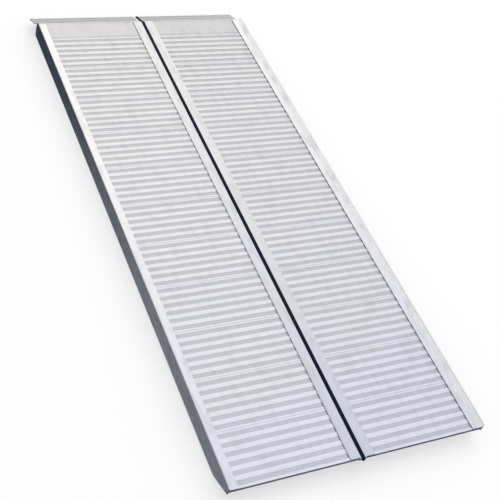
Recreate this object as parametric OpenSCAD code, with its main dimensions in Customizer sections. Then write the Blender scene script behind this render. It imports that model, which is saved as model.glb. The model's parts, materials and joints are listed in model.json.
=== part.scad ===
// Portable wheelchair ramp that folds in half lengthwise, like a suitcase.
// Two half decks of transverse ribbed planks are held in side rails, and a full-length
// hinge under the gap joins them. Each half has its own transition lip at the upper end.
// Frame: +X across the ramp, +Y up the ramp towards the lips, +Z up.
// Origin: on the fold line, level with the rails' bottom faces, halfway along.

/* [Deck] */
// Outer width of the open ramp
ramp_w = 760; // [680:10:860]
// Width of the gap between the two inner rails
gap_w = 12; // [11:0.5:14]
// Length of one ribbed plank along the ramp
plank_pitch = 155.3; // [140:0.1:170]
// Length of the plain top plank, from its joint to the lip's turning axis
top_len = 84.2; // [70:0.1:110]
// Depth of the planks, from rib tops to feet
plank_depth = 22; // [18:1:24]
// Width of a rib on a plank
rib_w = 12.2; // [9:0.1:14]
// Height of a rib above the grooves
rib_h = 1; // [0.8:0.1:2]

/* [Rails] */
// Height of the rails' top flange above their bottom face
rail_h = 46; // [42:1:52]
// Height of the upstand above the top flange on the outer rails
curb_h = 14; // [8:1:20]
// Width of the rails' top flange, with the web
flange_w = 30; // [26:1:36]
// Thickness of the rails' web
web_t = 2.6; // [2:0.1:3]
// Thickness of the rails' top flange
flange_t = 2.2; // [2:0.1:3.5]
// Height of the web's tip at the lower end, where the bevel starts
tip_z = 34; // [32:1:36]
// Length of the bevel on the rails' lower ends
bevel_l = 72; // [60:1:90]
// Radius of the upstand's lower end corner, half that of its upper one
curb_r = 10; // [5:1:12]

/* [Transition lips] */
// Length of a lip from its turning axis to its edge
lip_len = 62; // [56:1:70]
// Angle of the lips below the deck at rest
lip_rest = 20; // [5:1:30]
// Largest angle of the lips below the deck
lip_down = 35; // [32:1:36]
// Overhang of the left lip beyond the left outer rail
lip_over = 5; // [0:1:8]
// Distance from the left lip's inner end to the fold line
lip_in = 13; // [12:1:30]
// Distance from the right lip's end to the right outer face
lip_short = 10; // [4:1:30]

/* [Fold hinge] */
// Knuckles of the fold hinge, both leaves together
knuckles = 29; // [9:2:41]
// Outer radius of a knuckle
knuckle_r = 3.6; // [3.2:0.1:3.9]
// Radius of the hinge pin
pin_r = 1.6; // [1.2:0.1:2]

/* [Carry handle] */
// Distance between the handle's arms
handle_w = 124; // [100:2:150]
// Reach of the handle from its pivot to its grip
handle_reach = 33; // [28:1:36]
// Radius of the grip
grip_r = 8.5; // [7:0.5:9]

/* [Hidden] */
$fn = 48;
plank_n = 11;
fit = 0.06;                       // radial running clearance
half_w = ramp_w / 2;
gx = gap_w / 2;
nose_y = 3;                       // deck's front edge, behind the web tips
grid_y = 4.5;                     // start of the plank grid
top_y = grid_y + plank_n * plank_pitch;
hinge_y = top_y + top_len;        // lips' turning axis
rail_len = hinge_y - 3.5;
rib_z = rail_h - flange_t - 0.1;  // rib tops, just under the flange
groove_z = rib_z - rib_h;
skin = 1.6;
foot_z = rib_z - plank_depth;     // planks' feet
leg_z = groove_z - skin / 2;      // tops of the planks' legs, inside the skin
ledge_t = 2.4;
bead_r = 4;
sock_r = 6.3;
lip_z = rib_z - sock_r;           // lips' turning axis
seal_over = 6;                    // seal beyond the web tips
slope = tip_z / bevel_l;
reach_y = hinge_y + lip_len * cos(lip_rest) + 5.8 * sin(lip_rest);
y0 = -(reach_y - seal_over) / 2;  // puts the origin halfway along
rib_p = plank_pitch / 6;
joint_z = foot_z + 9.1;           // tongue and slot between planks
fold_z = -2;
hinge_a = 20;
hinge_b = rail_len - 14;
knuckle_l = (hinge_b - hinge_a) / knuckles;
leaf_w = flange_w - 2;
leaf_t = 1.8;
leaf_rivets = 12;
lx0 = gx + web_t + 0.2;           // planks between the webs
lx1 = half_w - web_t - 0.2;
grip_y = grid_y + 5.5 * plank_pitch; // handle's middle
piv_x = half_w + 8;
piv_z = rail_h - 4;
bar_x = piv_x + 4;
bar_z = piv_z - handle_reach;

// ---------- helpers ----------
// a section drawn in (x, z), run along +Y from a to b
module along_y(a, b) translate([0, b, 0]) rotate([90, 0, 0]) linear_extrude(b - a) children();
// a section drawn in (y, z), run along +X from a to b
module along_x(a, b) translate([a, 0, 0]) rotate([90, 0, 90]) linear_extrude(b - a) children();
// a rectangle by its corners
module rect(x0, z0, x1, z1) translate([x0, z0]) square([x1 - x0, z1 - z0]);
// moves the right half's coordinates into place, and mirrors them for the left half
module half(side) translate([0, y0, 0]) {
  if (side < 0) mirror([1, 0, 0]) children();
  else children();
}

function foot_mid(k) = grid_y + (k + 0.5) * plank_pitch;
top_foot = top_y + 34;

// ---------- rails ----------
// plank rivet places along a ledge, one per plank and one for the top plank
rivet_ys = concat([for (k = [0:plank_n - 1]) foot_mid(k) + 7.5], [top_foot + 7.5]);
leaf_ys = [for (k = [0:leaf_rivets - 1]) hinge_a + 40 + k * (hinge_b - hinge_a - 80) / (leaf_rivets - 1)];
bracket_ys = [grip_y - handle_w / 2, grip_y + handle_w / 2];

// section of a rail: a = 0 is its outer face, and it grows towards the deck
module rail_web(top) rect(0, 0, web_t, top);
module rail_arms() {
  rect(web_t - 0.5, rail_h - flange_t, flange_w, rail_h);
  rect(web_t - 0.5, foot_z - 0.05 - ledge_t, 20, foot_z - 0.05);
  rect(web_t - 0.5, 0, flange_w - 1, 2.6);
}
module bevel_cut() along_x(-1, flange_w + 1)
  polygon([[-6, tip_z + 6 * slope], [-6, -6], [bevel_l + 6 / slope, -6]]);
// rounds an end corner of the upstand, never below the top flange
module corner_cut(r) translate([-1, 0, rail_h + curb_h]) {
  d = min(r, curb_h);
  difference() {
    translate([0, -2, -d]) cube([web_t + 2, r + 2, d + 2]);
    translate([-1, r, -r]) rotate([0, 90, 0]) cylinder(r = r, h = web_t + 4);
  }
}

module rail(outer) difference() {
  union() {
    along_y(0, rail_len) rail_web(outer ? rail_h + curb_h : rail_h);
    along_y(nose_y, rail_len) rail_arms();
  }
  bevel_cut();
  if (outer) {
    corner_cut(curb_r);
    translate([0, rail_len, 0]) mirror([0, 1, 0]) corner_cut(2 * curb_r);
    // bracket rivet holes of the carry handle, on the right rail only
    if (outer == 2) for (y = bracket_ys, z = [12, 30])
      translate([-1, y, z]) rotate([0, 90, 0]) cylinder(r = 2.05, h = web_t + 2);
  }
  // ledge rivet holes
  for (y = rivet_ys) translate([13, y, foot_z - ledge_t - 1]) cylinder(r = 2.05, h = ledge_t + 2);
  // hinge rivet holes in the bottom flange
  if (!outer) for (y = leaf_ys) translate([leaf_w / 2 + 3, y, -1]) cylinder(r = 2.05, h = 5);
}
module inner_rail(side) half(side) translate([gx, 0, 0]) rail(0);
module outer_rail(side, holes) half(side) translate([half_w, 0, 0]) mirror([1, 0, 0]) rail(holes);

module left_outer_rail() color("#d9dde2") outer_rail(-1, 1);
module left_inner_rail() color("#d9dde2") inner_rail(-1);
module right_inner_rail() color("#d9dde2") inner_rail(1);
module right_outer_rail() color("#d9dde2") outer_rail(1, 2);

// ---------- planks ----------
// top skin with its ribs in one outline: five ribs and a half rib at each joint. It runs
// from a to the next joint
module ribbed_skin(a, e) {
  p = plank_pitch;
  h = rib_w / 2;
  f = h + 0.45;
  polygon(concat(
    [[a, groove_z - skin], [p - e, groove_z - skin], [p - e, rib_z - 0.8], [p - e - 0.8, rib_z],
      [p - e - h, rib_z], [p - e - f, groove_z]],
    [for (k = [5:-1:1]) each [[k * rib_p + f, groove_z], [k * rib_p + h, rib_z],
      [k * rib_p - h, rib_z], [k * rib_p - f, groove_z]]],
    [[e + f, groove_z], [e + h, rib_z], [a + 0.8, rib_z], [a, rib_z - 0.8]]));
}
module tongue(y) rect(y - 2.2, joint_z - 1.1, y + 1.2, joint_z + 1.1);
module tongue_slot(y) difference() {
  rect(y - 5.6, joint_z - 3.2, y, joint_z + 3.2);
  rect(y - 2.7, joint_z - 1.3, y + 1, joint_z + 1.3);
}

module plank_section(first) {
  p = plank_pitch;
  e = 0.1;
  n = nose_y - grid_y;
  ribbed_skin(first ? n : e, e);
  // upper joint: wall, foot and the slot for the next plank's tongue
  difference() {
    rect(p - e - 1.8, foot_z, p - e, leg_z);
    rect(p - 2.8, joint_z - 1.3, p + 1, joint_z + 1.3);
  }
  rect(p - 10, foot_z, p - e, foot_z + 1.6);
  tongue_slot(p - e);
  // middle leg with a wide foot
  rect(p / 2 - 0.8, foot_z, p / 2 + 0.8, leg_z);
  rect(p / 2 - 13, foot_z, p / 2 + 13, foot_z + 1.6);
  rect(p * 0.76 - 0.8, foot_z, p * 0.76 + 0.8, leg_z);
  rect(p * 0.76 - 5, foot_z, p * 0.76 + 5, foot_z + 1.6);
  if (first) {
    // closed nose box above the rails' bevel
    nz = tip_z - 0.4;
    b = n + (nz - foot_z) / slope + 1.2;
    rect(n, nz, n + 2.6, leg_z);
    polygon([[n, nz], [b - 2.2, foot_z], [b, foot_z], [b, foot_z + 1.2], [n, nz + 2.2]]);
    rect(b - 1.6, foot_z, b, leg_z);
    rect(b - 1.6, foot_z, b + 9, foot_z + 1.6);
  } else {
    rect(e, foot_z, e + 1.8, leg_z);
    rect(e, foot_z, 10, foot_z + 1.6);
    rect(p * 0.24 - 0.8, foot_z, p * 0.24 + 0.8, leg_z);
    rect(p * 0.24 - 5, foot_z, p * 0.24 + 5, foot_z + 1.6);
    tongue(e);
  }
}
module foot_holes(y) for (x = [gx + 13, half_w - 13])
  translate([x, y, foot_z - 1]) cylinder(r = 2.05, h = 4);

module plank(side, k) half(side) difference() {
  translate([0, grid_y + (k - 1) * plank_pitch, 0]) along_x(lx0, lx1) plank_section(k == 1);
  foot_holes(foot_mid(k - 1) + 7.5);
}
module left_plank(k) color("#e3e6ea") plank(-1, k);
module right_plank(k) color("#e3e6ea") plank(1, k);

// socket for a lip's bead: the mouth opens from just above the deck plane to below the lip
module socket() difference() {
  circle(r = sock_r);
  circle(r = bead_r + fit);
  polygon([[0, 0], [14 * cos(24), 14 * sin(24)], [16, -4],
    [14 * cos(lip_down + 24), -14 * sin(lip_down + 24)]]);
}
module top_section() {
  e = 0.1;
  plain_z = rib_z - 0.4;
  h = top_len;
  rect(e, groove_z - skin, 8.6, groove_z);
  rect(8.4, groove_z - skin, h - 4, plain_z);
  difference() {
    rect(h - 6, groove_z - skin, h, rib_z);
    rect(h - 7, plain_z, h - 3, rib_z + 1);
    translate([h, lip_z]) circle(r = bead_r + 1);
  }
  translate([h, lip_z]) socket();
  rect(e, foot_z, e + 1.8, leg_z);
  rect(e, foot_z, 10, foot_z + 1.6);
  tongue(e);
  rect(34 - 0.8, foot_z, 34 + 0.8, leg_z);
  rect(34 - 13, foot_z, 34 + 13, foot_z + 1.6);
  rect(h - sock_r, foot_z, h - sock_r + 1.9, lip_z);
  rect(h - sock_r - 6, foot_z, h - sock_r + 1.9, foot_z + 1.6);
}
// ends of the lips' beads and of the plates, in the right half's or mirrored coordinates
function bead_a(side) = side < 0 ? lip_in + 6 : gx + 8;
function bead_b(side) = side < 0 ? half_w - 8 : half_w - lip_short - 4;
module top_plank(side) half(side) difference() {
  translate([0, top_y, 0]) along_x(lx0, lx1) top_section();
  foot_holes(top_foot + 7.5);
  // holes for the stop pins
  for (x = [bead_a(side) - 2.2, bead_b(side) + 2.2])
    translate([x, hinge_y - 1.5, lip_z - 12]) cylinder(r = 1.28, h = 12);
}
module left_top_plank() color("#dfe2e6") top_plank(-1);
module right_top_plank() color("#dfe2e6") top_plank(1);

// ---------- transition lips ----------
// section of a lip lying level, with its turning axis at 0, 0
// with two shallow channels across its top
module lip_plate_section() difference() {
  polygon(concat([[0, 3], [0, 5.8]],
    [for (a = [0.28 * lip_len, 0.68 * lip_len]) each [[a, 5.8], [a + 0.7, 4.6],
      [a + 8.1, 4.6], [a + 8.8, 5.8]]],
    [[lip_len - 5, 5.8], [lip_len, 3.9], [lip_len, 2.6], [lip_len - 1.4, 2], [44, 2], [43, 3]]));
  circle(r = sock_r + 0.3);
}
// the bead and the web that carries it, hidden between the rails
module lip_bead_section() {
  circle(r = bead_r);
  rect(2, -1.5, 7.4, 1.5);
  rect(6.7, -1.5, 9.6, 5);
}
// places a level lip section on its axis at the rest angle
module at_lip() translate([0, hinge_y, lip_z]) rotate([-lip_rest, 0, 0]) children();

module lip(side) half(side) at_lip() {
  along_x(side < 0 ? lip_in : gx - 3.95, side < 0 ? half_w + lip_over : half_w - lip_short)
    lip_plate_section();
  along_x(bead_a(side), bead_b(side)) lip_bead_section();
}
module lip_pad(side) half(side) at_lip()
  along_x(side < 0 ? lip_in + 6 : gx + 8, side < 0 ? half_w - 4 : half_w - lip_short - 6)
    polygon([[lip_len - 17, 1.95], [lip_len - 16.2, 0.4], [lip_len - 12.4, 0.4],
      [lip_len - 12, 0.9], [lip_len - 11.6, 0.4], [lip_len - 8.4, 0.4], [lip_len - 8, 0.9],
      [lip_len - 7.6, 0.4], [lip_len - 3.8, 0.4], [lip_len - 3, 1.95]]);
module lip_stops(side) half(side) for (x = [bead_a(side) - 2.2, bead_b(side) + 2.2])
  translate([x, hinge_y - 1.5, lip_z - sock_r - 0.4]) cylinder(r = 1.25, h = 8.5);

module left_lip() color("#c9cdd2") lip(-1);
module right_lip() color("#c9cdd2") lip(1);
module left_lip_pad() color("#1d2024") lip_pad(-1);
module right_lip_pad() color("#1d2024") lip_pad(1);
module left_lip_stops() color("#9aa0a8") lip_stops(-1);
module right_lip_stops() color("#9aa0a8") lip_stops(1);

// ---------- seal along the fold ----------
// crowned head that covers the gap, with a foot bonded to the right inner rail's web
module seal_section() {
  intersection() {
    rect(-gx + 0.3, rail_h - 5.5, gx - 0.02, rail_h + 2);
    translate([0, rail_h + 0.6 - 22]) circle(r = 22, $fn = 96);
  }
  rect(gx - 3.2, rail_h - 17, gx - 0.02, rail_h - 5);
}
module gap_seal() color("#101622") translate([0, y0, 0]) {
  along_y(gx - seal_over, rail_len - 0.6) seal_section();
  // rounded lower end
  intersection() {
    translate([0.14, gx - seal_over, rail_h - 5.5]) cylinder(r = gx - 0.16, h = 8);
    translate([0, gx - seal_over, rail_h + 0.6 - 22]) sphere(r = 22, $fn = 96);
    translate([-10, -20, 0]) cube([20, 20.1 + gx - seal_over, 80]);
  }
}
module lip_seal() color("#101622") translate([0, y0, 0]) at_lip() {
  along_x(-gx + 2.5, gx - 4) difference() {
    union() {
      rect(1, 1.6, lip_len - 5, 6.9);
      translate([lip_len - 5, 4.25]) circle(r = 2.65);
    }
    circle(r = 1.8);
  }
}

// ---------- fold hinge ----------
module knuckle_cyl(k, r) translate([0, hinge_a + k * knuckle_l + 0.2, fold_z])
  rotate([-90, 0, 0]) cylinder(r = r, h = knuckle_l - 0.4);
// a leaf in the right half's coordinates: its knuckles are those of the given parity
module leaf(parity) difference() {
  union() {
    translate([knuckle_r + 0.6, hinge_a, -0.02 - leaf_t])
      cube([leaf_w + 3 - knuckle_r - 0.6, hinge_b - hinge_a, leaf_t]);
    for (k = [parity:2:knuckles - 1]) {
      knuckle_cyl(k, knuckle_r);
      translate([0, hinge_a + k * knuckle_l + 0.2, -0.02 - leaf_t])
        cube([knuckle_r + 1.6, knuckle_l - 0.4, leaf_t]);
    }
  }
  translate([0, hinge_a - 1, fold_z]) rotate([-90, 0, 0])
    cylinder(r = pin_r + fit, h = hinge_b - hinge_a + 2);
  for (y = leaf_ys) translate([leaf_w / 2 + 3 + gx, y, -0.02 - leaf_t]) {
    translate([0, 0, -1]) cylinder(r = 2.05, h = 4);
    translate([0, 0, -0.01]) cylinder(r1 = 4.1, r2 = 2.05, h = 1.6);
  }
}
module leaf_rivet() translate([0, 0, -0.02 - leaf_t]) {
  cylinder(r = 2, h = 6.08);
  cylinder(r1 = 4, r2 = 2, h = 1.55);
  translate([0, 0, leaf_t + 0.02 + 2.62]) cylinder(r1 = 3.6, r2 = 2.6, h = 1.7);
}
module leaf_rivets(side) half(side) for (y = leaf_ys)
  translate([leaf_w / 2 + 3 + gx, y, 0]) leaf_rivet();
module hinge_leaf_left() color("#aeb4bb") half(-1) leaf(0);
module hinge_leaf_right() color("#aeb4bb") half(1) leaf(1);
module hinge_pin() color("#8f959c") half(1) translate([0, hinge_a + 0.5, fold_z])
  rotate([-90, 0, 0]) cylinder(r = pin_r, h = hinge_b - hinge_a - 1);
module leaf_rivets_left() color("#8f959c") leaf_rivets(-1);
module leaf_rivets_right() color("#8f959c") leaf_rivets(1);

// ---------- plank rivets ----------
module plank_rivet() translate([0, 0, foot_z - 0.07 - ledge_t]) {
  cylinder(r = 2, h = ledge_t + 3.2);
  translate([0, 0, -1.5]) cylinder(r1 = 2.6, r2 = 3.8, h = 1.5);
  translate([0, 0, ledge_t + 0.07 + 1.62]) cylinder(r1 = 3.3, r2 = 2.4, h = 1.6);
}
module plank_rivets(side) half(side) for (x = [gx + 13, half_w - 13], y = rivet_ys)
  translate([x, y, 0]) plank_rivet();
module plank_rivets_left() color("#8f959c") plank_rivets(-1);
module plank_rivets_right() color("#8f959c") plank_rivets(1);

// ---------- carry handle on the right outer rail ----------
module bracket(y) translate([0, y0 + y, 0]) difference() {
  union() {
    translate([half_w + 0.02, -11, 5]) cube([3, 22, piv_z + 9 - 5]);
    for (s = [-1, 1]) translate([0, s * 3.7 - 1.3, 0]) {
      translate([half_w + 1, 0, piv_z - 4.4]) cube([7, 2.6, 8.8]);
      translate([piv_x, 2.6, piv_z]) rotate([90, 0, 0]) cylinder(r = 4.4, h = 2.6);
    }
  }
  translate([piv_x, -8, piv_z]) rotate([-90, 0, 0]) cylinder(r = 2.03, h = 16);
  for (z = [12, 30]) translate([half_w - 1, 0, z]) rotate([0, 90, 0]) cylinder(r = 2.05, h = 6);
}
module handle_bracket_front() color("#b9bec5") bracket(bracket_ys[0]);
module handle_bracket_rear() color("#b9bec5") bracket(bracket_ys[1]);
module handle_pins() color("#8f959c") for (y = bracket_ys) translate([piv_x, y0 + y, piv_z]) {
  translate([0, -5.6, 0]) rotate([-90, 0, 0]) cylinder(r = 2, h = 11.2);
  for (s = [0, 1]) mirror([0, s, 0]) translate([0, 5.05, 0]) rotate([-90, 0, 0])
    cylinder(r1 = 3.2, r2 = 2.6, h = 1.2);
}
module handle_rivets() color("#8f959c") for (y = bracket_ys, z = [12, 30])
  translate([half_w, y0 + y, z]) rotate([0, 90, 0]) {
    translate([0, 0, -web_t - 1.4]) cylinder(r = 2, h = web_t + 4.9);
    translate([0, 0, -web_t - 1.42]) cylinder(r1 = 2.6, r2 = 3.4, h = 1.4);
    translate([0, 0, 3.04]) cylinder(r1 = 3.6, r2 = 2.4, h = 1.4);
  }
// arm outline in (x, z): an eye at the pivot, a straight bar, and an eye at the grip
module arm_outline() difference() {
  union() {
    translate([piv_x, piv_z]) circle(r = 4.1);
    translate([bar_x, bar_z]) circle(r = 5.2);
    polygon([[piv_x - 4, piv_z], [piv_x + 4, piv_z], [bar_x + 4.8, bar_z], [bar_x - 4.8, bar_z]]);
  }
  translate([piv_x, piv_z]) circle(r = 2 + fit);
}
module handle_bail() color("#b9bec5") translate([0, y0, 0]) {
  for (y = bracket_ys) along_y(y - 2, y + 2) arm_outline();
  along_y(bracket_ys[0], bracket_ys[1]) translate([bar_x, bar_z]) circle(r = 4);
}
module handle_grip() color("#1b1e23") translate([0, y0 + grip_y, 0])
  translate([bar_x, 0, bar_z]) rotate([-90, 0, 0]) difference() {
    rotate_extrude() polygon([[0, -handle_w / 2 + 2.2], [grip_r - 1.4, -handle_w / 2 + 2.2],
      [grip_r - 0.4, -handle_w / 2 + 3.4], [grip_r - 0.4, -handle_w / 2 + 9],
      [grip_r - 1, -handle_w / 2 + 16], [grip_r, -handle_w / 4], [grip_r, handle_w / 4],
      [grip_r - 1, handle_w / 2 - 16], [grip_r - 0.4, handle_w / 2 - 9],
      [grip_r - 0.4, handle_w / 2 - 3.4], [grip_r - 1.4, handle_w / 2 - 2.2],
      [0, handle_w / 2 - 2.2]]);
    translate([0, 0, -handle_w]) cylinder(r = 4.03, h = 2 * handle_w);
  }

left_outer_rail();
left_inner_rail();
right_inner_rail();
right_outer_rail();
left_plank(1);  // left_plank_01
left_plank(2);  // left_plank_02
left_plank(3);  // left_plank_03
left_plank(4);  // left_plank_04
left_plank(5);  // left_plank_05
left_plank(6);  // left_plank_06
left_plank(7);  // left_plank_07
left_plank(8);  // left_plank_08
left_plank(9);  // left_plank_09
left_plank(10);  // left_plank_10
left_plank(11);  // left_plank_11
left_top_plank();
right_plank(1);  // right_plank_01
right_plank(2);  // right_plank_02
right_plank(3);  // right_plank_03
right_plank(4);  // right_plank_04
right_plank(5);  // right_plank_05
right_plank(6);  // right_plank_06
right_plank(7);  // right_plank_07
right_plank(8);  // right_plank_08
right_plank(9);  // right_plank_09
right_plank(10);  // right_plank_10
right_plank(11);  // right_plank_11
right_top_plank();
left_lip();
right_lip();
left_lip_pad();
right_lip_pad();
left_lip_stops();
right_lip_stops();
gap_seal();
lip_seal();
hinge_leaf_left();
hinge_leaf_right();
hinge_pin();
leaf_rivets_left();
leaf_rivets_right();
plank_rivets_left();
plank_rivets_right();
handle_bail();
handle_grip();
handle_bracket_front();
handle_bracket_rear();
handle_pins();
handle_rivets();
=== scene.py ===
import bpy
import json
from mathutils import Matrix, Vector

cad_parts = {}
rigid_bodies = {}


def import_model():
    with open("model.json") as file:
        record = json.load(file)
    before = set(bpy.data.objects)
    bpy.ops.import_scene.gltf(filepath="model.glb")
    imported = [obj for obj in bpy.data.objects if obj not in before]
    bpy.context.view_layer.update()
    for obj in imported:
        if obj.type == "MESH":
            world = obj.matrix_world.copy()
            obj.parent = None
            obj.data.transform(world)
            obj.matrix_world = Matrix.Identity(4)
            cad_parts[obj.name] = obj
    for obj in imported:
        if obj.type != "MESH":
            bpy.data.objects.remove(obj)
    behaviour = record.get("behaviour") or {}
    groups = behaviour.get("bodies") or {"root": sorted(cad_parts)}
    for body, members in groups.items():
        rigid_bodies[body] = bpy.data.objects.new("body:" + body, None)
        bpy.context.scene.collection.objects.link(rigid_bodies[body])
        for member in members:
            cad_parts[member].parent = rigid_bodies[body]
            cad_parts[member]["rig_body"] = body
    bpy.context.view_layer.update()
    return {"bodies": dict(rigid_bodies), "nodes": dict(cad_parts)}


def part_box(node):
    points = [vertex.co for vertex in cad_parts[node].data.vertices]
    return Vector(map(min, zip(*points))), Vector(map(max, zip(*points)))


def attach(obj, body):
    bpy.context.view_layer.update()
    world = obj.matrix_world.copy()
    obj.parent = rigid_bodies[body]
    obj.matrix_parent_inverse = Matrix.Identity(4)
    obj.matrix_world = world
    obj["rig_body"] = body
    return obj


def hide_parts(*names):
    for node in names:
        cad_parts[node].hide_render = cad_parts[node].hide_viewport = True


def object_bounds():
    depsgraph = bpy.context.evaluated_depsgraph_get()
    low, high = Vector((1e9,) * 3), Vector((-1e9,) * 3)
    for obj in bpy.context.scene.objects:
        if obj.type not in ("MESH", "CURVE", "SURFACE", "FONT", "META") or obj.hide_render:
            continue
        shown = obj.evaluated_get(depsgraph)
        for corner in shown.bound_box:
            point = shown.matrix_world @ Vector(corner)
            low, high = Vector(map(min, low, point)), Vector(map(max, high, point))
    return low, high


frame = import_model()

import json
import math

import bmesh
import bpy
from mathutils import Matrix, Vector

# Portable wheelchair ramp that folds in half lengthwise. Units are metres, +Y runs up the ramp.
scene = bpy.context.scene
NODE = frame["nodes"]
BODY = {n: o["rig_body"] for n, o in NODE.items()}
MM = 0.001
Y0 = -0.925622          # lower end of the rails' webs
RIB_Z, GROOVE_Z = 0.0437, 0.0427
LIP_Y, LIP_Z = 0.871378, 0.0374   # the lips' turning axis
LIP_TILT = math.radians(20)


# ---------------------------------------------------------------- node tree helpers
class Tree:
    """A small layer over a material's node tree, so that finishes read as expressions."""

    def __init__(self, name):
        self.mat = bpy.data.materials.new(name)
        self.mat.use_nodes = True
        self.t = self.mat.node_tree
        self.t.nodes.clear()
        self.out = self.t.nodes.new("ShaderNodeOutputMaterial")
        self.bsdf = self.t.nodes.new("ShaderNodeBsdfPrincipled")
        self.link(self.bsdf.outputs[0], self.out.inputs["Surface"])
        self.tc = self.t.nodes.new("ShaderNodeTexCoord")
        self.P = self.tc.outputs["Object"]
        sep = self.t.nodes.new("ShaderNodeSeparateXYZ")
        self.link(self.P, sep.inputs[0])
        self.x, self.y, self.z = sep.outputs
        sn = self.t.nodes.new("ShaderNodeSeparateXYZ")
        self.link(self.tc.outputs["Normal"], sn.inputs[0])
        self.nx, self.ny, self.nz = sn.outputs

    def link(self, a, b):
        self.t.links.new(a, b)

    def put(self, socket, v):
        if isinstance(v, bpy.types.NodeSocket):
            self.link(v, socket)
        elif isinstance(v, (tuple, list)) and len(v) == 3 and socket.type == "RGBA":
            socket.default_value = (*v, 1)
        else:
            socket.default_value = v

    def m(self, op, a, b=0.0, c=0.0, clamp=False):
        n = self.t.nodes.new("ShaderNodeMath")
        n.operation, n.use_clamp = op, clamp
        for s, v in zip(n.inputs, (a, b, c)):
            self.put(s, v)
        return n.outputs[0]

    def add(self, a, b): return self.m("ADD", a, b)
    def sub(self, a, b): return self.m("SUBTRACT", a, b)
    def mul(self, a, b): return self.m("MULTIPLY", a, b)
    def mad(self, a, b, c): return self.m("MULTIPLY_ADD", a, b, c)
    def lim(self, a): return self.m("ADD", a, 0.0, clamp=True)

    def span(self, v, a, b, c=0.0, d=1.0, smooth=True):
        n = self.t.nodes.new("ShaderNodeMapRange")
        n.interpolation_type = "SMOOTHSTEP" if smooth else "LINEAR"
        for k, val in zip(("Value", "From Min", "From Max", "To Min", "To Max"), (v, a, b, c, d)):
            self.put(n.inputs[k], val)
        return n.outputs[0]

    def place(self, scale, rot=(0, 0, 0), loc=(0, 0, 0), vec=None):
        n = self.t.nodes.new("ShaderNodeMapping")
        self.put(n.inputs["Vector"], vec if vec is not None else self.P)
        n.inputs["Scale"].default_value = scale
        n.inputs["Rotation"].default_value = rot
        n.inputs["Location"].default_value = loc
        return n.outputs[0]

    def noise(self, vec, scale=1.0, detail=2.0, rough=0.5, dist=0.0):
        n = self.t.nodes.new("ShaderNodeTexNoise")
        self.put(n.inputs["Vector"], vec)
        n.inputs["Scale"].default_value = scale
        n.inputs["Detail"].default_value = detail
        n.inputs["Roughness"].default_value = rough
        n.inputs["Distortion"].default_value = dist
        return n.outputs[0]

    def cells(self, vec, scale=1.0, feature="F1", out="Distance", rand=1.0):
        n = self.t.nodes.new("ShaderNodeTexVoronoi")
        n.feature = feature
        self.put(n.inputs["Vector"], vec)
        n.inputs["Scale"].default_value = scale
        n.inputs["Randomness"].default_value = rand
        return n.outputs[out]

    def mix(self, f, a, b, blend="MIX"):
        n = self.t.nodes.new("ShaderNodeMix")
        n.data_type, n.blend_type, n.clamp_result = "RGBA", blend, True
        self.put(n.inputs[0], f)
        self.put(n.inputs[6], a)
        self.put(n.inputs[7], b)
        return n.outputs[2]

    def mixf(self, f, a, b):
        n = self.t.nodes.new("ShaderNodeMix")
        n.data_type = "FLOAT"
        self.put(n.inputs[0], f)
        self.put(n.inputs[2], a)
        self.put(n.inputs[3], b)
        return n.outputs[0]

    def grey(self, v):
        n = self.t.nodes.new("ShaderNodeCombineColor")
        for s in n.inputs[:3]:
            self.put(s, v)
        return n.outputs[0]

    def bump(self, height, dist, strength=1.0, normal=None):
        n = self.t.nodes.new("ShaderNodeBump")
        n.inputs["Strength"].default_value = strength
        n.inputs["Distance"].default_value = dist
        self.put(n.inputs["Height"], height)
        if normal is not None:
            self.link(normal, n.inputs["Normal"])
        return n.outputs[0]

    def edge(self, radius, lo=0.02, hi=0.25):
        """1 on edges within radius, from the difference of a rounded normal and the true one."""
        b = self.t.nodes.new("ShaderNodeBevel")
        b.samples = 4
        b.inputs["Radius"].default_value = radius
        g = self.t.nodes.new("ShaderNodeNewGeometry")
        d = self.t.nodes.new("ShaderNodeVectorMath")
        d.operation = "DOT_PRODUCT"
        self.link(b.outputs[0], d.inputs[0])
        self.link(g.outputs["Normal"], d.inputs[1])
        return self.span(self.sub(1.0, d.outputs["Value"]), lo, hi)

    def tangent(self, axis):
        n = self.t.nodes.new("ShaderNodeVectorTransform")
        n.vector_type, n.convert_from, n.convert_to = "VECTOR", "OBJECT", "WORLD"
        n.inputs[0].default_value = axis
        return n.outputs[0]

    def set(self, **kw):
        for k, v in kw.items():
            self.put(self.bsdf.inputs[k.replace("_", " ")], v)
        return self.mat


def scratches(g, count=2, fine=1100.0, seed=0.0):
    """Fine straight scratches in a few directions, 0 to 1."""
    total = None
    for k in range(count):
        a = (0.5, -0.35, 1.2, -1.0)[k % 4] + seed
        v = g.place((fine, 22.0 + 9 * k, 22.0), rot=(0, 0, a), loc=(3.1 * k + seed, 1.7 * k, 0))
        line = g.span(g.noise(v, 1.0, 1.0, 0.4), 0.69, 0.74)
        where = g.span(g.noise(g.place((26, 26, 26), loc=(seed + 9 * k, 4, 2))), 0.5, 0.66)
        line = g.mul(line, where)
        total = line if total is None else g.m("MAXIMUM", total, line)
    return total


def stains(g, seed=0.0):
    """Cloudy handling marks and dried splashes, 0 to 1."""
    cloud = g.span(g.noise(g.place((40, 13, 40), loc=(seed, 2.0, 5.0)), 1.0, 5.0, 0.70), 0.46, 0.66)
    drop = g.span(g.cells(g.place((75, 60, 75), loc=(seed, 0, 0)), 1.0), 0.24, 0.06)
    drop = g.mul(drop, g.span(g.noise(g.P, 30.0, 1.0), 0.5, 0.6))
    return g.m("MAXIMUM", cloud, g.mul(drop, 0.35))


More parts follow.
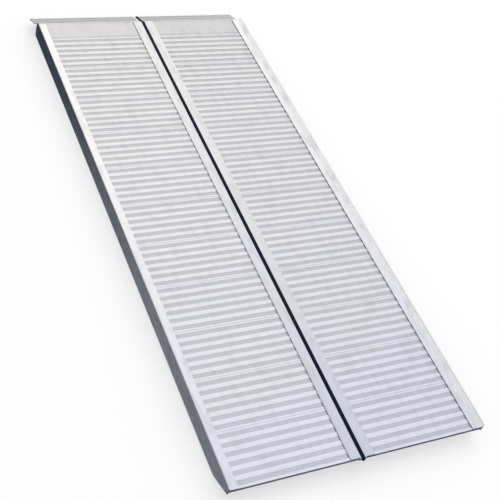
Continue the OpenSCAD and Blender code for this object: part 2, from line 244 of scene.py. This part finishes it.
def aluminium(name, axis, base, rough, deck=None, rail=False, lip=False, grain=1.0, wear=0.5,
              aniso=0.3, stain=0.07):
    """Extruded aluminium with die lines along axis ('X' or 'Y'), scuffs, worn edges and dust."""
    g = Tree(name)
    s = (2.4, 620.0, 620.0) if axis == "X" else (620.0, 2.4, 620.0)
    s2 = (0.7, 150.0, 150.0) if axis == "X" else (150.0, 0.7, 150.0)
    line = g.noise(g.place(s), 1.0, 3.0, 0.6)
    broad = g.noise(g.place(s2), 1.0, 2.0, 0.5)
    blot = g.noise(g.P, 46.0, 4.0, 0.6)
    speck = g.noise(g.P, 900.0, 2.0, 0.6)
    scr = scratches(g, 3)
    mark = stains(g, 3.0 if axis == "X" else 8.0)
    col = base
    groove = None
    ax = g.m("ABSOLUTE", g.x)
    if deck:
        # ribs are bright from wheels and shoes, grooves keep the duller skin with some dust
        up = g.span(g.nz, 0.6, 0.95)
        rib = g.span(g.z, GROOVE_Z + 0.15 * MM, GROOVE_Z + 0.7 * MM)
        groove = g.mul(up, g.sub(1.0, rib))
        col = g.mix(groove, base, deck["groove"])
        plain = g.mul(up, g.span(g.y, 0.7855, 0.7875))
        col = g.mix(plain, col, deck["plain"])
        # painted shade: the deck is painted brighter at the lower end and darker towards the top end, where it
        # reflects the brighter sky; the next line makes the right half 1.5% darker
        col = g.mix(1.0, col, g.grey(g.span(g.y, -0.9, 0.86, 1.065, 0.905, smooth=False)), "MULTIPLY")
        col = g.mix(1.0, col, g.grey(g.span(g.x, -0.01, 0.01, 1.0, 0.985)), "MULTIPLY")
    if lip:
        # painted shade: the up-facing floors of the two channels across the lip are painted dark for the shadow
        # in them
        c, sn = math.cos(LIP_TILT), math.sin(LIP_TILT)
        up = g.span(g.nz, 0.5, 0.8)
        h = g.add(g.mul(g.sub(g.y, LIP_Y), sn), g.mul(g.sub(g.z, LIP_Z), c))
        low = g.mul(up, g.span(h, 5.5 * MM, 4.8 * MM))
        col = g.mix(low, col, lip)
    if rail:
        # the inner rails are made up to 12% darker than the outer ones
        col = g.mix(1.0, col, g.grey(g.span(ax, 0.06, 0.05, 1.0, 0.88)), "MULTIPLY")
        upright = g.span(g.m("ABSOLUTE", g.nx), 0.6, 0.8)
        level = g.span(g.m("ABSOLUTE", g.nz), 0.6, 0.8)
        # painted highlight: the outer curbs' inner faces are coloured near white for the bright flange and sky
        # they reflect
        curb_face_highlight = g.mul(g.mul(upright, g.span(g.mul(g.nx, g.m("SIGN", g.x)), 0.0, -0.5)),
                      g.mul(g.span(g.z, 0.0459, 0.0463), g.span(ax, 0.3765, 0.3770)))
        col = g.mix(curb_face_highlight, col, (0.975, 0.965, 0.945))
        col = g.mix(g.mul(g.mul(level, g.span(g.z, 0.0592, 0.0596)), 0.42), col, (0.30, 0.30, 0.32))
    tone = g.add(g.mul(g.sub(line, 0.5), 0.10 * grain), g.mul(g.sub(broad, 0.5), 0.08 * grain))
    tone = g.add(tone, g.mul(g.sub(blot, 0.5), 0.08))
    tone = g.add(tone, g.mul(g.sub(speck, 0.5), 0.07))
    if rail:
        # the webs are rougher to look at than the walking surface: drag lines and patches
        web = g.mul(upright, g.span(ax, 0.3790, 0.3795))
        drag = g.noise(g.place((1, 14.0, 420.0), rot=(0.05, 0, 0)), 1.0, 3.0, 0.62)
        patch = g.noise(g.place((1, 60.0, 90.0)), 1.0, 4.0, 0.7)
        tone = g.add(tone, g.mul(web, g.add(g.mul(g.sub(drag, 0.5), 0.9), g.mul(g.sub(patch, 0.5), 1.1))))
        # painted shade: the outer webs are made 9% darker, deepening the dark reflection they get from the floor
        tone = g.sub(tone, g.mul(web, 0.09))
    if deck:
        # brushing shows most on the plain top plates
        brush = g.noise(g.place((1.5, 330.0, 330.0), rot=(0, 0, 0.006)), 1.0, 4.0, 0.7)
        tone = g.add(tone, g.mul(plain, g.mul(g.sub(brush, 0.5), 0.22)))
    col = g.mix(1.0, col, g.grey(g.add(tone, 0.985)), "MULTIPLY")
    col = g.mix(g.mul(mark, stain), col, (0.36, 0.35, 0.33))
    worn = g.edge(0.6 * MM)
    col = g.mix(g.mul(worn, wear), col, (0.90, 0.905, 0.915))
    col = g.mix(g.mul(scr, 0.2), col, (0.93, 0.93, 0.935))
    if rail:
        # painted shade: the flange's edge faces where it meets the deck are painted near black for the shadow of
        # the gap there, on both sides; the rail ends are painted dark grey with saw marks, a raw saw-cut texture
        # with painted shade for the dark floor they face
        flange_edge_shade = g.m("MAXIMUM", g.span(g.m("ABSOLUTE", g.sub(ax, 0.036)), 1.2 * MM, 0.5 * MM),
                   g.span(g.m("ABSOLUTE", g.sub(ax, 0.350)), 1.2 * MM, 0.5 * MM))
        edge_shade_height = g.mul(g.span(g.z, 0.0433, 0.0437), g.span(g.z, 0.0462, 0.0456))
        col = g.mix(g.mul(g.mul(upright, flange_edge_shade), edge_shade_height), col, (0.19, 0.195, 0.215))
        sawn_end_shade = g.span(g.m("ABSOLUTE", g.ny), 0.6, 0.8)
        saw = g.noise(g.place((300.0, 1.0, 1500.0), rot=(0, 0.5, 0)), 1.0, 2.0, 0.6)
        col = g.mix(g.mul(sawn_end_shade, 0.7), col, g.grey(g.mad(saw, 0.3, 0.16)))
    r = g.add(rough, g.mul(g.sub(line, 0.5), 0.14 * grain))
    r = g.add(r, g.mul(g.sub(blot, 0.5), 0.12))
    r = g.add(r, g.mul(mark, 0.06))
    r = g.sub(r, g.mul(worn, 0.07))
    if deck:
        r = g.add(r, g.mul(groove, deck["groove_rough"]))
    height = g.add(g.mul(line, 0.6), g.mul(speck, 0.35))
    height = g.sub(height, g.mul(scr, 0.6))
    if deck:
        height = g.add(height, g.mul(g.mul(groove, speck), 0.9))
    nrm = g.bump(height, 0.03 * MM, 0.5)
    g.set(Base_Color=col, Metallic=1.0, Roughness=g.lim(r), Normal=nrm, Anisotropic=aniso,
          Tangent=g.tangent((1, 0, 0) if axis == "X" else (0, 1, 0)))
    return g.mat


def plated_steel(name):
    """Zinc plate: fine spangle, a hint of yellow and blue passivation, handling marks."""
    g = Tree(name)
    sp = g.cells(g.P, 420.0, out="Color")
    spx = g.t.nodes.new("ShaderNodeSeparateColor")
    g.link(sp, spx.inputs[0])
    blot = g.noise(g.P, 70.0, 3.0, 0.6)
    col = g.mix(g.span(blot, 0.35, 0.65), (0.55, 0.56, 0.585), (0.60, 0.59, 0.555))
    col = g.mix(1.0, col, g.grey(g.mad(spx.outputs[0], 0.10, 0.93)), "MULTIPLY")
    worn = g.edge(0.6 * MM)
    col = g.mix(g.mul(worn, 0.5), col, (0.78, 0.78, 0.79))
    scr = scratches(g, 2, 1400.0, 0.6)
    fine = g.noise(g.P, 1500.0, 2.0, 0.6)
    r = g.add(g.mad(spx.outputs[1], 0.10, 0.27), g.mul(g.sub(blot, 0.5), 0.2))
    nrm = g.bump(g.sub(fine, g.mul(scr, 0.8)), 0.02 * MM, 0.4)
    return g.set(Base_Color=col, Metallic=1.0, Roughness=g.lim(r), Normal=nrm)


def rivet_metal(name):
    g = Tree(name)
    blot = g.noise(g.P, 260.0, 3.0, 0.6)
    fine = g.noise(g.P, 1700.0, 2.0, 0.6)
    worn = g.edge(0.5 * MM)
    col = g.mix(g.span(blot, 0.3, 0.7), (0.66, 0.665, 0.67), (0.74, 0.745, 0.755))
    col = g.mix(g.mul(worn, 0.5), col, (0.9, 0.9, 0.91))
    return g.set(Base_Color=col, Metallic=1.0, Roughness=g.add(0.28, g.mul(blot, 0.16)),
                 Normal=g.bump(g.add(fine, blot), 0.03 * MM, 0.5))


# The default base and sheen are the seal's: its near-black navy and blue-tinted sheen are matched to the deep
# shade in the gap between the panels
def rubber(name, axis="Y", base=(0.003, 0.0085, 0.020), rough=0.45, dust=0.05, level=0.08,
           sheen=(0.35, 0.6, 1.0)):
    """Extruded rubber: faint die lines, fine grain, a little pale dust on top."""
    g = Tree(name)
    s = (900.0, 5.0, 900.0) if axis == "Y" else (5.0, 900.0, 900.0)
    line = g.noise(g.place(s), 1.0, 2.0, 0.5)
    fine = g.noise(g.P, 1900.0, 2.0, 0.6)
    blot = g.noise(g.P, 60.0, 4.0, 0.65)
    d = g.mul(g.mul(g.span(blot, 0.5, 0.85), g.span(g.nz, 0.0, 0.9)), dust)
    d = g.mul(d, g.span(fine, 0.35, 0.7))
    col = g.mix(d, base, (0.12, 0.13, 0.15))
    r = g.add(g.add(rough, g.mul(g.sub(blot, 0.5), 0.2)), g.mul(d, 0.3))
    nrm = g.bump(g.add(g.mul(line, 0.7), g.mul(fine, 0.5)), 0.05 * MM, 0.5)
    return g.set(Base_Color=col, Metallic=0.0, Roughness=g.lim(r), Normal=nrm,
                 Specular_IOR_Level=level, Specular_Tint=sheen)


def moulded(name, base=(0.014, 0.0145, 0.016)):
    """Soft-touch moulded plastic: leathery texture, shine where hands rub it."""
    g = Tree(name)
    cell = g.cells(g.P, 780.0, feature="SMOOTH_F1")
    blot = g.noise(g.P, 90.0, 3.0, 0.6)
    worn = g.edge(0.8 * MM)
    col = g.mix(g.mul(worn, 0.35), base, (0.06, 0.06, 0.063))
    r = g.sub(g.mad(blot, 0.2, 0.42), g.mul(worn, 0.12))
    return g.set(Base_Color=col, Roughness=g.lim(r),
                 Normal=g.bump(cell, 0.12 * MM, 0.5))


RAIL = aluminium("rail_aluminium_finish", "Y", (0.84, 0.845, 0.86), 0.27, rail=True, stain=0.20)
PLANK = aluminium("plank_aluminium_finish", "X", (0.81, 0.815, 0.835), 0.36, stain=0.10,
                  deck={"groove": (0.61, 0.61, 0.62), "groove_rough": 0.10,
                        "plain": (0.69, 0.69, 0.71)})
# lip= is the colour of the painted shade in the lip's channels
LIP = aluminium("lip_aluminium_finish", "X", (0.72, 0.72, 0.725), 0.34, lip=(0.42, 0.42, 0.44))
STEEL = plated_steel("zinc_plate_finish")
RIVET = rivet_metal("rivet_finish")
# the seal stands in for the dark strip in the gap between the panels: black rubber, and partly painted shade
SEAL_AND_GAP_SHADE = rubber("seal_rubber_gap_shade_finish")
PAD = rubber("pad_rubber_finish", "X", (0.018, 0.018, 0.019), 0.6, 0.3, 0.3, (1.0, 1.0, 1.0))
GRIP = moulded("grip_plastic_finish")


# ---------------------------------------------------------------- meshes from the CAD nodes
def mend(bm):
    """Welds the face seams and closes T-junctions, so that the solid is a closed mesh."""
    bmesh.ops.remove_doubles(bm, verts=bm.verts, dist=2e-6)
    for _ in range(4):
        edges = [e for e in bm.edges if len(e.link_faces) == 1]
        if not edges:
            break
        verts = {v for e in edges for v in e.verts}
        cuts = []
        for e in edges:
            a, b = e.verts
            d = b.co - a.co
            L = d.length
            if L < 1e-5:
                continue
            hits = []
            for v in verts:
                if v is a or v is b:
                    continue
                t = (v.co - a.co).dot(d) / (L * L)
                if 1e-5 < t < 1 - 1e-5 and (v.co - a.co - d * t).length < 2e-6:
                    hits.append(t)
            if hits:
                cuts.append((e, a, b, sorted(set(round(h, 7) for h in hits))))
        if not cuts:
            break
        for e, a, b, ts in cuts:
            done = 0.0
            cur = e
            start = a
            for t in ts:
                f = (t - done) / (1 - done)
                new_edge, nv = bmesh.utils.edge_split(cur, start, f)
                # the part from the new vertex to b carries on
                cur = next(x for x in nv.link_edges if b in x.verts) if any(b in x.verts for x in nv.link_edges) else new_edge
                start = nv
                done = t
        bmesh.ops.remove_doubles(bm, verts=bm.verts, dist=2e-6)
    bmesh.ops.dissolve_degenerate(bm, dist=1e-7, edges=bm.edges)


def remake(name, bevels=(), flat=0.008, weighted=True):
    """A closed copy of a CAD node with coplanar faces joined and the given edges rounded."""
    src = NODE[name]
    bm = bmesh.new()
    bm.from_mesh(src.data)
    mend(bm)
    bmesh.ops.dissolve_limit(bm, angle_limit=flat, verts=bm.verts, edges=bm.edges)
    for pick, width, segments in bevels:
        edges = [e for e in bm.edges if len(e.link_faces) == 2 and e.calc_face_angle(0) > 0.35 and pick(e)]
        if edges:
            bmesh.ops.bevel(bm, geom=edges, offset=width, offset_type="OFFSET", segments=segments,
                            profile=0.5, affect="EDGES", clamp_overlap=True)
    bmesh.ops.recalc_face_normals(bm, faces=bm.faces)
    me = bpy.data.meshes.new("m_" + name)
    bm.to_mesh(me)
    bm.free()
    for p in me.polygons:
        p.use_smooth = True
    me.set_sharp_from_angle(angle=math.radians(20))
    ob = bpy.data.objects.new("v_" + name, me)
    scene.collection.objects.link(ob)
    if weighted:
        w = ob.modifiers.new("weighted", "WEIGHTED_NORMAL")
        w.keep_sharp = True
    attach(ob, BODY[name])
    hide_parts(name)
    return ob


def long_edge(mm):
    return lambda e: e.calc_length() > mm * MM


SLOT = {}
FINISH = {
    "rail_aluminium": RAIL, "plank_aluminium": PLANK, "lip_aluminium": LIP,
    "hinge_steel": STEEL, "handle_steel": STEEL, "rivet_aluminium": RIVET,
    "seal_rubber": SEAL_AND_GAP_SHADE, "pad_rubber": PAD, "grip_plastic": GRIP,
}
for name, o in NODE.items():
    SLOT[name] = o.data.materials[0].name if o.data.materials else None

ROUND = {
    "rail": [(long_edge(8.0), 0.35 * MM, 2)],
    "plank": [(long_edge(60.0), 0.3 * MM, 2)],
    "lip": [(long_edge(60.0), 0.3 * MM, 2)],
    "pad": [(long_edge(60.0), 0.25 * MM, 2)],
}
made = {}
for name in sorted(NODE):
    kind = None
    if name.endswith("_rail"):
        kind = "rail"
    elif "_plank" in name and "rivets" not in name:
        kind = "plank"
    elif name in ("left_lip", "right_lip"):
        kind = "lip"
    elif name.endswith("_pad"):
        kind = "pad"
    if kind:
        ob = remake(name, ROUND[kind])
    else:
        ob = remake(name, ())
    ob.data.materials.clear()
    ob.data.materials.append(FINISH[SLOT[name]])
    made[name] = ob
    opened = 0
    b2 = bmesh.new()
    b2.from_mesh(ob.data)
    opened = sum(not e.is_manifold for e in b2.edges)
    b2.free()
    if opened:
        print("OPEN", name, opened, len(ob.data.polygons))


# ---------------------------------------------------------------- stage, light and camera
def settle(ob):
    """Keeps the floor under the ramp's lowest point, so that the half that folds under isn't sunk in it."""
    curve = ob.driver_add("location", 2)
    curve.driver.type = "MIN"
    marks = [(None, (0, 0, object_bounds()[0][2]))]
    for body in ("right_panel", "carry_handle"):
        ends = [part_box(n) for n, node in NODE.items() if node.parent == frame["bodies"][body]]
        xs = [c[0] for box in ends for c in box]
        zs = [c[2] for box in ends for c in box]
        marks += [(body, (x, 0, z)) for x in (min(xs), max(xs)) for z in (min(zs), max(zs))]
    for i, (body, place) in enumerate(marks):
        mark = bpy.data.objects.new("floor_mark_%d" % i, None)
        scene.collection.objects.link(mark)
        mark.location = place
        if body:
            mark.parent = frame["bodies"][body]
        var = curve.driver.variables.new()
        var.name = "m%d" % i
        var.type = "TRANSFORMS"
        var.targets[0].id = mark
        var.targets[0].transform_type = "LOC_Z"
        var.targets[0].transform_space = "WORLD_SPACE"


def floor():
    """A pale floor, clear from below. Glossy rays see a painted dark reflection on it instead, so upright metal
    faces stay dark.
    """
    me = bpy.data.meshes.new("studio_floor")
    s = 40.0
    drop = -0.0005
    me.from_pydata([(-s, -s, drop), (s, -s, drop), (s, s, drop), (-s, s, drop)], [], [(0, 1, 2, 3)])
    ob = bpy.data.objects.new("studio_floor", me)
    scene.collection.objects.link(ob)
    settle(ob)
    g = Tree("studio_floor_finish")
    n = g.noise(g.P, 3.0, 3.0, 0.5)
    col = g.mix(n, (0.925, 0.925, 0.93), (0.935, 0.935, 0.935))
    g.set(Base_Color=col, Roughness=0.9, Specular_IOR_Level=0.0)
    # half of its light is its own, which keeps the shadow soft and faint
    own = g.t.nodes.new("ShaderNodeEmission")
    own.inputs[0].default_value = (0.985, 0.985, 0.99, 1)
    half = g.t.nodes.new("ShaderNodeMixShader")
    half.inputs[0].default_value = 0.5
    g.link(g.bsdf.outputs[0], half.inputs[1])
    g.link(own.outputs[0], half.inputs[2])
    # painted reflection: glossy rays see this emitted colour, dark grey near the front, navy towards the far end,
    # grey again beyond it, a dark purple strip in front of the lower end, grey to the right and mid grey under
    # the ramp
    far = g.span(g.y, -0.55, 0.85)
    glossy_reflection = g.mix(far, (0.19, 0.205, 0.235), (0.022, 0.034, 0.058))
    front = g.span(g.y, -0.928, -0.936)
    glossy_reflection = g.mix(g.span(g.x, 0.40, 0.50), glossy_reflection, (0.30, 0.31, 0.33))
    glossy_reflection = g.mix(front, glossy_reflection, (0.045, 0.030, 0.070))
    glossy_reflection = g.mix(g.span(g.y, 0.95, 1.15), glossy_reflection, (0.22, 0.22, 0.23))
    under = g.mul(g.span(g.m("ABSOLUTE", g.x), 0.381, 0.375), g.span(g.m("ABSOLUTE", g.y), 0.935, 0.92))
    glossy_reflection = g.mix(under, glossy_reflection, (0.55, 0.55, 0.56))
    glow = g.t.nodes.new("ShaderNodeEmission")
    g.link(glossy_reflection, glow.inputs[0])
    lp = g.t.nodes.new("ShaderNodeLightPath")
    seen = g.t.nodes.new("ShaderNodeMixShader")
    g.link(lp.outputs["Is Glossy Ray"], seen.inputs[0])
    g.link(half.outputs[0], seen.inputs[1])
    g.link(glow.outputs[0], seen.inputs[2])
    clear = g.t.nodes.new("ShaderNodeBsdfTransparent")
    geo = g.t.nodes.new("ShaderNodeNewGeometry")
    mx = g.t.nodes.new("ShaderNodeMixShader")
    g.link(geo.outputs["Backfacing"], mx.inputs[0])
    g.link(seen.outputs[0], mx.inputs[1])
    g.link(clear.outputs[0], mx.inputs[2])
    g.link(mx.outputs[0], g.out.inputs["Surface"])
    me.materials.append(g.mat)
    return ob


floor()


def area(name, loc, target, size, power, colour=(1, 1, 1), glossy=False):
    l = bpy.data.lights.new(name, "AREA")
    l.shape, l.size, l.size_y = "RECTANGLE", size[0], size[1]
    l.energy, l.color = power, colour
    ob = bpy.data.objects.new(name, l)
    ob.location = loc
    ob.rotation_mode = "QUATERNION"
    ob.rotation_quaternion = (Vector(target) - Vector(loc)).to_track_quat("-Z", "Y")
    ob.visible_glossy = glossy
    scene.collection.objects.link(ob)
    return ob


area("key", (2.4, 2.0, 4.2), (0, 0, 0), (4.5, 4.5), 60, (1.0, 0.99, 0.975))


def studio_world():
    """Even white light. Metal sees a sky that goes from cool overhead to warm and brighter beyond the far end."""
    world = bpy.data.worlds.new("studio")
    scene.world = world
    world.use_nodes = True
    t = world.node_tree
    t.nodes.clear()
    out = t.nodes.new("ShaderNodeOutputWorld")
    tc = t.nodes.new("ShaderNodeTexCoord")
    sep = t.nodes.new("ShaderNodeSeparateXYZ")
    t.links.new(tc.outputs["Generated"], sep.inputs[0])

    def span(v, a, b):
        n = t.nodes.new("ShaderNodeMapRange")
        n.interpolation_type = "SMOOTHSTEP"
        t.links.new(v, n.inputs["Value"])
        n.inputs["From Min"].default_value, n.inputs["From Max"].default_value = a, b
        return n.outputs[0]

    def mix(f, a, b):
        n = t.nodes.new("ShaderNodeMix")
        n.data_type, n.clamp_result = "RGBA", False
        for s, v in ((n.inputs[0], f), (n.inputs[6], a), (n.inputs[7], b)):
            if isinstance(v, bpy.types.NodeSocket):
                t.links.new(v, s)
            else:
                s.default_value = (*v, 1) if isinstance(v, tuple) else v
        return n.outputs[2]

    sky = mix(span(sep.outputs[1], 0.30, 0.80), (0.80, 0.83, 0.945), (1.27, 1.235, 1.165))
    sky = mix(span(sep.outputs[0], -0.35, -0.80), sky, (1.10, 1.11, 1.13))
    lp = t.nodes.new("ShaderNodeLightPath")
    glossy = t.nodes.new("ShaderNodeBackground")
    t.links.new(sky, glossy.inputs[0])
    even = t.nodes.new("ShaderNodeBackground")
    even.inputs[0].default_value = (0.985, 0.99, 1.0, 1)
    even.inputs[1].default_value = 0.97
    mx = t.nodes.new("ShaderNodeMixShader")
    t.links.new(lp.outputs["Is Glossy Ray"], mx.inputs[0])
    t.links.new(even.outputs[0], mx.inputs[1])
    t.links.new(glossy.outputs[0], mx.inputs[2])
    t.links.new(mx.outputs[0], out.inputs[0])


studio_world()

cam = bpy.data.cameras.new("camera")
cam.sensor_fit = "HORIZONTAL"
cam.sensor_width = 36.0
cam.lens = 71.04
cam.clip_start, cam.clip_end = 0.05, 100
cob = bpy.data.objects.new("camera", cam)
right = Vector((0.8927, -0.3718, 0.2546))
up = Vector((0.1222, 0.7435, 0.6574))
back = right.cross(up).normalized()
up = back.cross(right).normalized()
right = up.cross(back).normalized()
rot = Matrix((right, up, back)).transposed()
cob.matrix_world = Matrix.Translation((-1.27365, -1.81388, 2.08628)) @ rot.to_4x4()
scene.collection.objects.link(cob)
scene.camera = cob

scene.view_settings.view_transform = "Standard"
scene.view_settings.look = "None"
scene.view_settings.exposure = 0.0
